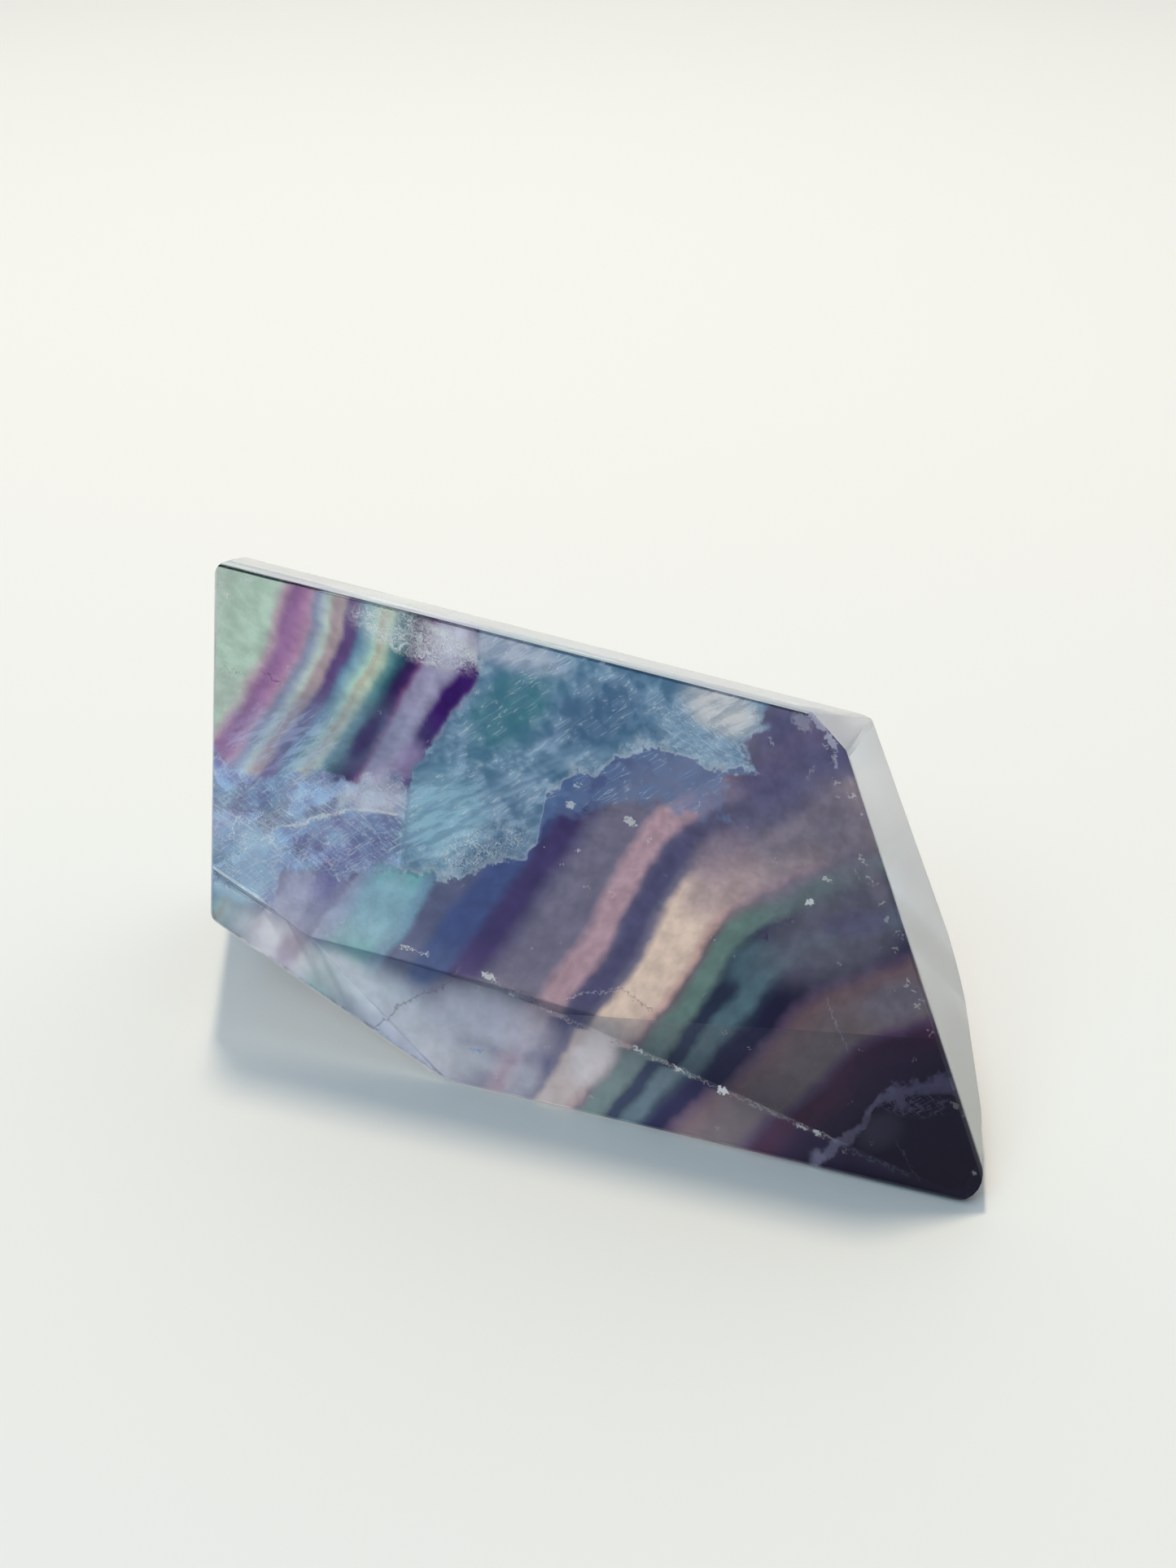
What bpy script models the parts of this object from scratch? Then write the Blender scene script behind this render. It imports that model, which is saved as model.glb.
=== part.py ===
"""Fluorite freeform: one polished chunk of banded fluorite that stands on a flat base.

The stone is described the way a lapidary cuts it. A sawn block is ground down by one
flat cut for each facet, then each edge between two facets is eased by a few narrow
cuts that all touch the same round. Every cut keeps the side that holds the middle of
the stone, so the result is one closed convex solid.

Places on the stone are given in face coordinates, in millimetres, measured from the
heel, which is the left end of the front edge of the base:
    along  to the right, along the front edge of the base
    up     up the front face, which leans back
    deep   square to the front face, into the stone
"""
import math

import bmesh
import bpy
from mathutils import Vector

MM = 0.001

# The front face
LEAN = 16.0  # degrees that the front face leans back from upright
HEEL = (0.0, 0.0)
TOE = (39.6, 0.0)
LOW_LEFT = (-19.8, 8.4)
TOP_LEFT = (-21.0, 35.2)
TOP_RIGHT = (24.5, 31.4)
CORNER_CUT_TOP = (22.8, 31.54)  # the small cut across the top right corner
CORNER_CUT_SIDE = (25.1, 29.6)

# How thick the stone is, square to the front face
THICK_TOP_LEFT = 12.0
THICK_LOW_LEFT = 16.5
THICK_LOW_RIGHT = 15.0
LOW_RIGHT = (33.0, 12.0)  # where the last of these is measured

# One point deep in each facet that runs back from the front face
TOP_BACK = (-1.5, 31.2, 12.2)
CORNER_CUT_BACK = (24.4, 29.1, 12.3)
RIGHT_BACK = (28.9, 19.7, 13.7)
LEFT_BACK = (-26.4, 20.0, 14.0)
LOW_LEFT_BACK = (-13.8, 3.9, 13.4)

# The lower back facet rises from the back edge of the base
BASE_BACK_ALONG = 7.4  # a point on the back edge of the base, which starts at the toe
BASE_BACK_DEPTH = 12.5
LOWER_BACK_TOP = (33.1, 10.8, 15.0)  # where it meets the right facet and the back face

# Radii of the eased edges
ARRIS = 0.35  # a plain polished edge
CORNER_TOP_LEFT = 1.1
CORNER_LOW_LEFT = 1.3
CORNER_HEEL = 0.8
CORNER_TOE = 2.2
CORNER_TOP_RIGHT = 3.0
LOWER_BACK_ROUND = 9.0  # the soft roll between the back face and the lower back facet

BLOCK_SIZE = 90.0  # the sawn block that the facets are cut from

# The finish
PALE_VIOLET_GREY = (0.52, 0.50, 0.60, 1.0)
FLUORITE_IOR = 1.434
POLISHED = 0.04


def place(along, up, deep=0.0):
    """The point, in metres, of a place given in face coordinates."""
    lean = math.radians(LEAN)
    back = up * math.sin(lean) + deep * math.cos(lean)
    height = up * math.cos(lean) - deep * math.sin(lean)
    return Vector((along, back, height)) * MM


MIDDLE = place(3.0, 18.0, 7.0)  # a point well inside the stone


class Cut:
    """A flat cut: what lies on the far side of its plane is ground away."""

    def __init__(self, point, normal):
        self.normal = normal.normalized()
        self.reach = self.normal.dot(point)

    @property
    def point(self):
        return self.normal * self.reach


def cut_through(first, second, third):
    """The cut that passes through three points and faces away from the middle."""
    normal = (second - first).cross(third - first)
    if normal.dot(MIDDLE - first) > 0:
        normal.negate()
    return Cut(first, normal)


def facets():
    """The nine flat facets, by name."""
    back_top_left = place(*TOP_LEFT, THICK_TOP_LEFT)
    back_low_left = place(*LOW_LEFT, THICK_LOW_LEFT)
    back_low_right = place(*LOW_RIGHT, THICK_LOW_RIGHT)
    base_back = Vector((BASE_BACK_ALONG, BASE_BACK_DEPTH, 0.0)) * MM
    return {
        "front": cut_through(place(*HEEL), place(*TOE), place(*TOP_LEFT)),
        "back": cut_through(back_top_left, back_low_left, back_low_right),
        "base": Cut(Vector(), Vector((0.0, 0.0, -1.0))),
        "top": cut_through(place(*TOP_LEFT), place(*TOP_RIGHT), place(*TOP_BACK)),
        "corner": cut_through(
            place(*CORNER_CUT_TOP), place(*CORNER_CUT_SIDE), place(*CORNER_CUT_BACK)
        ),
        "right": cut_through(place(*TOP_RIGHT), place(*TOE), place(*RIGHT_BACK)),
        "left": cut_through(place(*TOP_LEFT), place(*LOW_LEFT), place(*LEFT_BACK)),
        "low_left": cut_through(place(*LOW_LEFT), place(*HEEL), place(*LOW_LEFT_BACK)),
        "lower_back": cut_through(place(*TOE), base_back, place(*LOWER_BACK_TOP)),
    }


# Pairs of facets that meet, with the radius of their edge and its number of cuts
EASED_EDGES = (
    ("left", "top", CORNER_TOP_LEFT, 5),
    ("left", "low_left", CORNER_LOW_LEFT, 4),
    ("low_left", "base", CORNER_HEEL, 3),
    ("base", "right", CORNER_TOE, 7),
    ("top", "corner", CORNER_TOP_RIGHT, 4),
    ("corner", "right", CORNER_TOP_RIGHT, 4),
    ("back", "lower_back", LOWER_BACK_ROUND, 5),
    ("base", "lower_back", ARRIS, 2),
    ("right", "lower_back", ARRIS, 3),
    ("front", "base", ARRIS, 3),
    ("back", "base", ARRIS, 2),
) + tuple(
    (face, side, ARRIS, 3)
    for face in ("front", "back")
    for side in ("left", "low_left", "top", "corner", "right")
)


def easing_cuts(first, second, radius, count):
    """Cuts that touch the round of a given radius between two facets.

    The round's axis lies at the radius behind both facets. Each cut's normal is a
    blend of the two facets' normals, so where the axis lies along itself is free.
    """
    turn = first.normal.angle(second.normal)
    overlap = math.cos(turn)
    first_reach = first.reach - radius * MM
    second_reach = second.reach - radius * MM
    across = 1.0 - overlap * overlap
    centre = (
        first.normal * (first_reach - overlap * second_reach)
        + second.normal * (second_reach - overlap * first_reach)
    ) / across
    cuts = []
    for step in range(1, count + 1):
        share = step / (count + 1)
        normal = first.normal.slerp(second.normal, share)
        cuts.append(Cut(centre + normal * radius * MM, normal))
    return cuts


def grind(bm, cut):
    """Cuts the stone flat along one plane and closes it again."""
    bmesh.ops.bisect_plane(
        bm,
        geom=bm.verts[:] + bm.edges[:] + bm.faces[:],
        dist=1e-8,
        plane_co=cut.point,
        plane_no=cut.normal,
        clear_outer=True,
    )
    rim = [edge for edge in bm.edges if edge.is_boundary]
    if rim:
        bmesh.ops.edgeloop_fill(bm, edges=rim)


def stand_on_origin(bm):
    """Moves the stone so that the middle of its box stands over the origin."""
    low = Vector([min(vert.co[axis] for vert in bm.verts) for axis in range(3)])
    high = Vector([max(vert.co[axis] for vert in bm.verts) for axis in range(3)])
    shift = Vector((-(low.x + high.x) / 2, -(low.y + high.y) / 2, -low.z))
    bmesh.ops.translate(bm, verts=bm.verts[:], vec=shift)


def fluorite():
    """Clear polished fluorite with a pale violet grey tint."""
    material = bpy.data.materials.new("fluorite")
    material.use_nodes = True
    shader = material.node_tree.nodes["Principled BSDF"]
    shader.inputs["Base Color"].default_value = PALE_VIOLET_GREY
    shader.inputs["Roughness"].default_value = POLISHED
    shader.inputs["Metallic"].default_value = 0.0
    shader.inputs["IOR"].default_value = FLUORITE_IOR
    shader.inputs["Transmission Weight"].default_value = 1.0
    return material


def build_stone():
    """Grinds the block into the stone and adds it to the scene."""
    bm = bmesh.new()
    bmesh.ops.create_cube(bm, size=BLOCK_SIZE * MM)
    bmesh.ops.translate(bm, verts=bm.verts[:], vec=MIDDLE)
    flats = facets()
    for cut in flats.values():
        grind(bm, cut)
    for first, second, radius, count in EASED_EDGES:
        for cut in easing_cuts(flats[first], flats[second], radius, count):
            grind(bm, cut)
    bmesh.ops.remove_doubles(bm, verts=bm.verts[:], dist=1e-6)
    bmesh.ops.dissolve_degenerate(bm, edges=bm.edges[:], dist=1e-6)
    bmesh.ops.recalc_face_normals(bm, faces=bm.faces[:])
    stand_on_origin(bm)

    mesh = bpy.data.meshes.new("fluorite_stone")
    bm.to_mesh(mesh)
    bm.free()
    mesh.materials.append(fluorite())
    stone = bpy.data.objects.new("fluorite_stone", mesh)
    bpy.context.scene.collection.objects.link(stone)
    return stone


def main():
    for old in list(bpy.data.objects):
        bpy.data.objects.remove(old, do_unlink=True)
    build_stone()


main()
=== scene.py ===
import math

import bpy
from mathutils import Matrix, Vector


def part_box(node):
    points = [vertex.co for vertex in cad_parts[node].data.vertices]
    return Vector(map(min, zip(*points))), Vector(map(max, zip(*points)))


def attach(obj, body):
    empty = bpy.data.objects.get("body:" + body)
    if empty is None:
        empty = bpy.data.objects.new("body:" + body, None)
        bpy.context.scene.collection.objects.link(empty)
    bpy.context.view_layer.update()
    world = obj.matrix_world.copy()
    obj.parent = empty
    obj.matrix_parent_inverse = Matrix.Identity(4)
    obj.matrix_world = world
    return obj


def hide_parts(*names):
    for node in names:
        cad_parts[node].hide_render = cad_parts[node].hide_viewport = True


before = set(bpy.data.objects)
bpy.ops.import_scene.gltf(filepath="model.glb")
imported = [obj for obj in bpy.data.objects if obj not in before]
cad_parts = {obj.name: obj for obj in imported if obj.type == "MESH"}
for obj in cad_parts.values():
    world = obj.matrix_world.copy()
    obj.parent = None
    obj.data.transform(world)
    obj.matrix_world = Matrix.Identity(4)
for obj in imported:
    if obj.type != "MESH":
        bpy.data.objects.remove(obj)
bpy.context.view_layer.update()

# Places on the stone are given as the cutter sees them, in millimetres from the heel, which is
# the left end of the front edge of the base:
#     along  to the right, along the front edge of the base
#     up     up the front face, which leans back
#     deep   square to the front face, into the stone
MM = 0.001
LEAN = math.radians(16.0)
low_corner, high_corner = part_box("fluorite_stone")
HEEL_FROM_LOW_CORNER = Vector((26.799, -0.105, 0.0))
HEEL = low_corner / MM + HEEL_FROM_LOW_CORNER
TO_FACE = Matrix.Rotation(LEAN, 3, "X")  # turns a world direction into (along, deep, up)

FLUORITE_IOR = 1.434
POLISHED = 0.015  # roughness of the polished faces
SHEEN = (0.45, 0.45, 0.70, 1.0)  # colour of what the polished faces reflect
NEARLY_WHITE = (0.96, 0.95, 0.97, 1.0)
FRONT_GAMMA = 1.25  # how deep the colour is at the front


# ---------------------------------------------------------------- growth zones
# Fluorite grows as a cube, layer on layer, and each layer takes its colour from the brine.
# The layers stand steeply through the stone and lean over to the right near the point, where
# a second cube face grew. A layer's position is its distance from the heel, square to the
# layers, in millimetres.
STEEP = math.radians(62.0)
SHALLOW = math.radians(35.0)
SHALLOW_START = 12.2
CORNER_ROUNDING = 1.5

# The layers fan out a little with depth
FAN_ALONG = (0.252, -0.0047)
FAN_UP = (0.302, -0.0056)

# Colours as they look with white daylight behind the stone, 0 to 255
COLOURS = {
    "rim grey": (150, 163, 162),
    "mint": (150, 172, 166),
    "rose grey": (152, 136, 152),
    "plum": (124, 94, 136),
    "orchid": (142, 108, 148),
    "mauve": (150, 124, 152),
    "slate": (114, 124, 154),
    "pale slate": (142, 154, 170),
    "pale mint": (156, 172, 170),
    "taupe": (140, 128, 138),
    "violet": (80, 64, 110),
    "slate teal": (84, 116, 146),
    "aqua": (118, 150, 164),
    "pale aqua": (146, 178, 170),
    "sand": (152, 146, 138),
    "pale moss": (152, 168, 158),
    "teal": (82, 122, 130),
    "deep teal": (38, 72, 90),
    "ink": (38, 30, 70),
    "ink violet": (46, 32, 80),
    "dusk plum": (90, 56, 100),
    "lilac": (120, 118, 150),
    "pale lilac": (134, 134, 164),
    "deep violet": (46, 24, 86),
    "slate blue": (96, 120, 152),
    "sea teal": (80, 142, 146),
    "mist blue": (92, 126, 154),
    "plum grey": (74, 82, 114),
    "navy": (54, 70, 116),
    "indigo": (54, 48, 92),
    "smoke violet": (78, 78, 108),
    "smoke": (96, 96, 120),
    "rose": (152, 130, 146),
    "navy slate": (66, 67, 102),
    "cream": (190, 175, 168),
    "rose beige": (165, 142, 142),
    "shadow": (92, 88, 98),
    "moss": (82, 108, 108),
    "ink teal": (24, 36, 58),
    "sea grey": (62, 88, 102),
    "ink navy": (12, 14, 42),
    "mulberry": (62, 50, 76),
    "umber": (86, 72, 80),
    "stone grey": (84, 78, 86),
    "maroon": (46, 24, 46),
    "ink plum": (28, 18, 42),
    "black violet": (12, 8, 28),
    "film blue": (94, 110, 140),
    "film lilac": (140, 152, 182),
    "mist patch": (118, 154, 176),
    # Painted light, laid below the base and the low left edge
    "pale painted light": (205, 206, 214),
    "warm painted light": (232, 224, 222),
    "violet haze": (82, 82, 110),
    "slate haze": (82, 84, 102),
    "rose haze": (138, 124, 136),
    "dusk violet": (70, 70, 104),
    "veil blue": (90, 126, 154),
    "veil pale": (148, 176, 202),
    "veil teal": (62, 122, 134),
    "veil bright": (160, 200, 222),
    "veil deep": (70, 104, 138),
    "veil dusk": (82, 106, 146),
    "veil grey": (190, 190, 204),
    "veil lilac": (192, 198, 216),
    "crackle lilac": (122, 132, 178),
    "crackle blue": (152, 184, 222),
    "toe lilac": (112, 114, 158),
    "frost": (236, 242, 248),
    "mauve haze": (100, 95, 116),
    "plum haze": (112, 104, 124),
    # Painted light, laid below the base and the low left edge
    "green painted light": (214, 234, 226),
    "cream painted light": (252, 246, 236),
    "veil white": (218, 218, 230),
    "dusk lilac": (124, 116, 154),
    "bruise violet": (92, 92, 146),
    "film light": (150, 168, 202),
    "feather grey": (170, 172, 184),
    # Painted reflection on the narrow facets, darker towards the bottom
    "rim painted reflection low": (196, 198, 192),
    "rim painted reflection high": (222, 226, 228),
}

LAYERS = [
    (-34.0, "rim grey"), (-31.0, "mint"), (-28.9, "mint"), (-28.3, "rose grey"),
    (-27.8, "plum"), (-27.3, "plum"), (-26.7, "orchid"), (-26.3, "mauve"),
    (-25.8, "slate"), (-25.3, "pale slate"), (-24.9, "pale mint"), (-24.5, "taupe"),
    (-23.9, "taupe"), (-23.6, "violet"), (-23.0, "violet"), (-22.6, "slate teal"),
    (-22.0, "aqua"), (-21.5, "pale aqua"), (-21.2, "sand"), (-20.9, "pale moss"),
    (-20.6, "pale moss"), (-20.2, "teal"), (-19.4, "deep teal"), (-18.9, "ink"),
    (-18.3, "ink violet"), (-18.0, "dusk plum"), (-17.6, "lilac"), (-16.5, "pale lilac"),
    (-15.9, "lilac"), (-15.4, "deep violet"), (-14.4, "deep violet"), (-14.1, "slate"),
    (-13.4, "slate blue"), (-12.6, "sea teal"), (-10.2, "sea teal"), (-9.4, "mist blue"),
    (-8.9, "mist blue"), (-8.5, "plum grey"), (-7.2, "plum grey"), (-6.5, "navy"),
    (-5.0, "navy"), (-4.3, "indigo"), (-3.2, "indigo"), (-2.4, "smoke violet"),
    (-1.5, "smoke"), (1.3, "smoke"), (2.1, "rose"), (3.3, "rose"),
    (3.8, "smoke violet"), (4.2, "navy slate"), (5.0, "navy slate"), (5.6, "smoke"),
    (6.1, "cream"), (8.3, "cream"), (8.9, "rose beige"), (9.3, "shadow"),
    (9.8, "moss"), (10.8, "moss"), (11.4, "ink teal"), (12.0, "ink teal"),
    (12.5, "sea grey"), (13.3, "sea grey"), (14.0, "ink teal"), (14.6, "ink navy"),
    (15.5, "ink navy"), (16.1, "mulberry"), (16.9, "umber"), (18.4, "stone grey"),
    (19.9, "stone grey"), (20.6, "mulberry"), (21.2, "maroon"), (22.2, "maroon"),
    (23.0, "ink plum"), (24.5, "black violet"), (34.0, "black violet"),
]
STOPS_PER_RAMP = 30
DAYLIGHT = 0.72  # share of the daylight behind the stone that its two faces let through


def shade(name, light=1.0):
    """The share of red, green and blue light that a named colour lets through."""
    channels = []
    for value in COLOURS[name]:
        value /= 255
        value = value / 12.92 if value <= 0.04045 else ((value + 0.055) / 1.055) ** 2.4
        channels.append(min(1.0, light * value / DAYLIGHT))
    return (*channels, 1.0)


class Recipe:
    """A material's nodes, added and wired one at a time."""

    def __init__(self, name):
        self.material = bpy.data.materials.new(name)
        self.material.use_nodes = True
        self.nodes = self.material.node_tree.nodes
        self.links = self.material.node_tree.links
        self.shader = self.nodes["Principled BSDF"]

    def feed(self, socket, value):
        """Wires another node's result into a socket, or sets a plain value."""
        if isinstance(value, bpy.types.NodeSocket):
            self.links.new(value, socket)
        elif value is not None:
            socket.default_value = value

    def math(self, operation, first, second=None, third=None, clamp=False):
        node = self.nodes.new("ShaderNodeMath")
        node.operation = operation
        node.use_clamp = clamp
        for socket, value in zip(node.inputs, (first, second, third)):
            self.feed(socket, value)
        return node.outputs[0]

    def blend(self, amount, first, second, kind="MIX"):
        """A colour that goes from first to second."""
        node = self.nodes.new("ShaderNodeMix")
        node.data_type = "RGBA"
        node.blend_type = kind
        self.feed(node.inputs["Factor"], amount)
        self.feed(node.inputs[6], first)
        self.feed(node.inputs[7], second)
        return node.outputs[2]

    def spread(self, value, low, high, start=0.0, end=1.0):
        """value from low to high becomes start to end, eased at both ends."""
        node = self.nodes.new("ShaderNodeMapRange")
        node.interpolation_type = "SMOOTHSTEP"
        self.feed(node.inputs["Value"], value)
        self.feed(node.inputs["From Min"], low)
        self.feed(node.inputs["From Max"], high)
        self.feed(node.inputs["To Min"], start)
        self.feed(node.inputs["To Max"], end)
        return node.outputs["Result"]

    def join(self, x, y, z=0.0):
        node = self.nodes.new("ShaderNodeCombineXYZ")
        for socket, value in zip(node.inputs, (x, y, z)):
            self.feed(socket, value)
        return node.outputs[0]

    def cloud(self, vector, scale, detail=3.0, roughness=0.55, distortion=0.0):
        """Soft noise from 0 to 1, mostly near a half."""
        node = self.nodes.new("ShaderNodeTexNoise")
        node.noise_dimensions = "2D"
        self.feed(node.inputs["Vector"], vector)
        node.inputs["Scale"].default_value = scale
        node.inputs["Detail"].default_value = detail
        node.inputs["Roughness"].default_value = roughness
        node.inputs["Distortion"].default_value = distortion
        return node.outputs[0]

    def shaken(self, flat, scale, detail, reach):
        """Offsets along and up, in millimetres, for an edge that should look torn."""
        node = self.cloud(flat, scale, detail, 0.62).node
        draws = self.split(node.outputs[1])[:2]
        return [self.spread(draw, 0.25, 0.75, -reach, reach) for draw in draws]

    def grain(self, flat, degrees, length, width):
        """Places turned and scaled, so that a pattern is drawn out along one direction."""
        node = self.nodes.new("ShaderNodeMapping")
        node.vector_type = "TEXTURE"
        self.feed(node.inputs["Vector"], flat)
        node.inputs["Rotation"].default_value = (0, 0, math.radians(degrees))
        node.inputs["Scale"].default_value = (length, width, 1)
        return node.outputs[0]

    def slope(self, places, middle, reach, degrees):
        """How far places lie from a middle in one direction, as a share of the reach."""
        along_share = math.cos(math.radians(degrees)) / reach
        up_share = math.sin(math.radians(degrees)) / reach
        start = -(middle[0] * along_share + middle[1] * up_share)
        rise = self.math("MULTIPLY_ADD", places[1], up_share, start)
        return self.math("MULTIPLY_ADD", places[0], along_share, rise)

    def spot(self, places, middle, reach, degrees=0.0, core=0.35, strength=1.0):
        """Full strength inside a tilted oval, fading to 0 at its rim."""
        lengthwise = self.slope(places, middle, reach[0], degrees)
        crosswise = self.slope(places, middle, reach[1], degrees + 90)
        squared = self.math("MULTIPLY", crosswise, crosswise)
        squared = self.math("MULTIPLY_ADD", lengthwise, lengthwise, squared)
        return self.spread(self.math("SQRT", squared), 1.0, core, 0.0, strength)

    def wisps(self, flat, degrees, length, width, thin=0.05, detail=2.0, distortion=0.0):
        """Thin wavering lines that run mostly one way."""
        grain = self.grain(flat, degrees, length, width)
        noise_value = self.cloud(grain, 1.0, detail, 0.55, distortion)
        near = self.math("ABSOLUTE", self.math("SUBTRACT", noise_value, 0.5))
        return self.spread(near, thin, 0.0)

    def cells(self, flat, degrees, length, width, thin):
        """Flakes of a crackle: the bright lines between them, and a random tone for each."""
        grain = self.grain(flat, degrees, length, width)
        edges = self.nodes.new("ShaderNodeTexVoronoi")
        edges.voronoi_dimensions = "2D"
        edges.feature = "DISTANCE_TO_EDGE"
        self.feed(edges.inputs["Vector"], grain)
        edges.inputs["Scale"].default_value = 1.0
        tones = self.nodes.new("ShaderNodeTexVoronoi")
        tones.voronoi_dimensions = "2D"
        self.feed(tones.inputs["Vector"], grain)
        tones.inputs["Scale"].default_value = 1.0
        tone = self.split(tones.outputs["Color"])[0]
        return self.spread(edges.outputs["Distance"], thin, 0.0), tone

    def specks(self, flat, scale, share, size=0.26):
        """Small scattered specks; share is how many of the places have one."""
        node = self.nodes.new("ShaderNodeTexVoronoi")
        node.voronoi_dimensions = "2D"
        self.feed(node.inputs["Vector"], flat)
        node.inputs["Scale"].default_value = scale
        chosen = self.math("GREATER_THAN", self.split(node.outputs["Color"])[0], 1.0 - share)
        near = self.spread(node.outputs["Distance"], size, size * 0.5)
        return self.math("MULTIPLY", chosen, near)

    def streaks(self, flat, degrees, length, width, low=0.55, high=0.7, detail=3.0):
        """Drawn-out patches that run one way."""
        grain = self.grain(flat, degrees, length, width)
        return self.spread(self.cloud(grain, 1.0, detail, 0.55, 0.3), low, high)

    def line(self, value, points):
        """A line through listed points: its height over a value, straight from point to point.
        """
        start, end = points[0][0], points[-1][0]
        low = min(height for _, height in points) - 0.01
        high = max(height for _, height in points) + 0.01
        share = self.math("DIVIDE", self.math("SUBTRACT", value, start), end - start, clamp=True)
        node = self.nodes.new("ShaderNodeFloatCurve")
        self.links.new(share, node.inputs["Value"])
        curve = node.mapping.curves[0]
        shares = [((at - start) / (end - start), (height - low) / (high - low))
                  for at, height in points]
        for at, height in shares[1:-1]:
            curve.points.new(at, height)
        curve.points[0].location = shares[0]
        curve.points[-1].location = shares[-1]
        for point in curve.points:
            point.handle_type = "VECTOR"
        node.mapping.update()
        return self.math("MULTIPLY_ADD", node.outputs[0], high - low, low)

    def beyond(self, value, limit, soft):
        """0 up to a limit, 1 from soft millimetres past it; below it where soft is negative."""
        return self.spread(self.math("SUBTRACT", value, limit), 0.0, soft)

    def hairline(self, across, along, points, width, strength, fade=0.4):
        """A thin line along listed points, fading at its ends: a crack, and also a painted line
        along an edge.
        """
        gap = self.math("ABSOLUTE", self.math("SUBTRACT", across, self.line(along, points)))
        start = self.beyond(along, points[0][0], fade)
        end = self.beyond(along, points[-1][0], -fade)
        return self.all_of(self.spread(gap, width, width * 0.3, 0.0, strength), start, end)

    def all_of(self, *masks):
        """Masks multiplied: strong only where all of them are."""
        result = masks[0]
        for mask in masks[1:]:
            result = self.math("MULTIPLY", result, mask)
        return result

    def any_of(self, *masks):
        """The strongest of the masks."""
        result = masks[0]
        for mask in masks[1:]:
            result = self.math("MAXIMUM", result, mask)
        return result

    def part(self, mask, share):
        """A mask at a share of its strength."""
        return self.math("MULTIPLY", mask, share)

    def moved(self, places, offsets):
        """(along, up) with an offset added to each."""
        return [self.math("ADD", place, offset) for place, offset in zip(places, offsets)]

    def split(self, vector):
        node = self.nodes.new("ShaderNodeSeparateXYZ")
        self.feed(node.inputs[0], vector)
        return node.outputs

    def face_places(self):
        """(along, deep, up) in millimetres, from Object coordinates."""
        coordinates = self.nodes.new("ShaderNodeTexCoord")
        node = self.nodes.new("ShaderNodeMapping")
        self.links.new(coordinates.outputs["Object"], node.inputs["Vector"])
        node.inputs["Location"].default_value = TO_FACE @ -HEEL
        node.inputs["Rotation"].default_value = (LEAN, 0, 0)
        node.inputs["Scale"].default_value = (1 / MM, 1 / MM, 1 / MM)
        return self.split(node.outputs[0])

    def fanned(self):
        """along and up, followed to the front face down the lean of the layers, and deep."""
        along, deep, up = self.face_places()
        fan_along = self.math("MULTIPLY_ADD", along, FAN_ALONG[1], FAN_ALONG[0])
        fan_up = self.math("MULTIPLY_ADD", up, FAN_UP[1], FAN_UP[0])
        along = self.math("MULTIPLY_ADD", deep, fan_along, along)
        up = self.math("MULTIPLY_ADD", deep, fan_up, up)
        return along, up, deep

    def lean_over(self, along, up, angle, start=0.0):
        """Distance square to lines that rise at an angle."""
        rise = self.math("MULTIPLY_ADD", up, -math.cos(angle), start)
        return self.math("MULTIPLY_ADD", along, math.sin(angle), rise)

    def layer_colour(self, position):
        """The colour of the growth layers at a position, from a chain of ramps."""
        colour = None
        for first in range(0, len(LAYERS), STOPS_PER_RAMP):
            run = LAYERS[max(0, first - 1) : first + STOPS_PER_RAMP]
            start, end = run[0][0], run[-1][0]
            share = self.math("DIVIDE", self.math("SUBTRACT", position, start), end - start)
            node = self.nodes.new("ShaderNodeValToRGB")
            self.links.new(share, node.inputs[0])
            stops = node.color_ramp.elements
            while len(stops) > 1:
                stops.remove(stops[-1])
            for index, (distance, name) in enumerate(run):
                at = (distance - start) / (end - start)
                stop = stops[0] if index == 0 else stops.new(at)
                stop.position = at
                stop.color = shade(name)
            if colour is None:
                colour = node.outputs[0]
            else:
                later = self.math("GREATER_THAN", position, start)
                colour = self.blend(later, colour, node.outputs[0])
        return colour
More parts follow.
